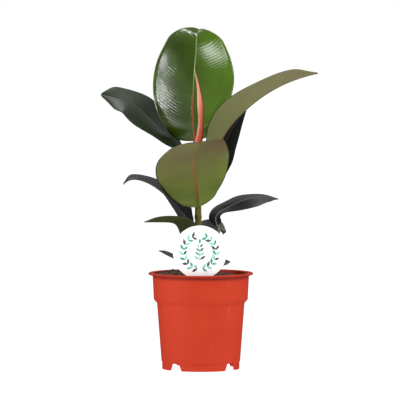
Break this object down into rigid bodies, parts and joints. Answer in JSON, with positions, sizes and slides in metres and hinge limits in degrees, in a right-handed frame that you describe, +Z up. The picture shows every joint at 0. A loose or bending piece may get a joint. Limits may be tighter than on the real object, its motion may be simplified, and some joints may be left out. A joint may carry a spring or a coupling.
{
  "type": "potted rubber plant",
  "caption": "Young rubber plant with broad glossy leaves, a reddish bud sheath and a round plant label, growing in a round plastic nursery pot.",
  "frame": {"origin": "middle of the plant's bounding box, at the level of the surface that the pot stands on", "axes": "+Z up along the pot's axis, -Y to the front, where the label faces, +X to the right as seen from the front"},
  "size_m": [0.2474, 0.2014, 0.3904],
  "materials": {
    "pot": "smooth terracotta-red moulded plastic, satin",
    "soil": "crumbly brown peat compost",
    "stem": "smooth young green bark",
    "bud_sheath": "smooth waxy pink-red",
    "leaf": "glossy waxy leaf, paler and duller underneath",
    "label": "smooth printed white card-thin plastic"
  },
  "bodies": {
    "root": {"pot": "pot", "soil": "soil", "stem": "stem", "bud_sheath": "bud_sheath", "leaf_top": "leaf", "leaf_upper_right": "leaf", "leaf_right_rear": "leaf", "leaf_front": "leaf", "leaf_upper_left": "leaf", "leaf_mid_left": "leaf", "leaf_low_left": "leaf", "leaf_right": "leaf", "leaf_low_right": "leaf", "leaf_small_left": "leaf", "leaf_small_right": "leaf", "plant_label": "label"}
  },
  "joints": []
}
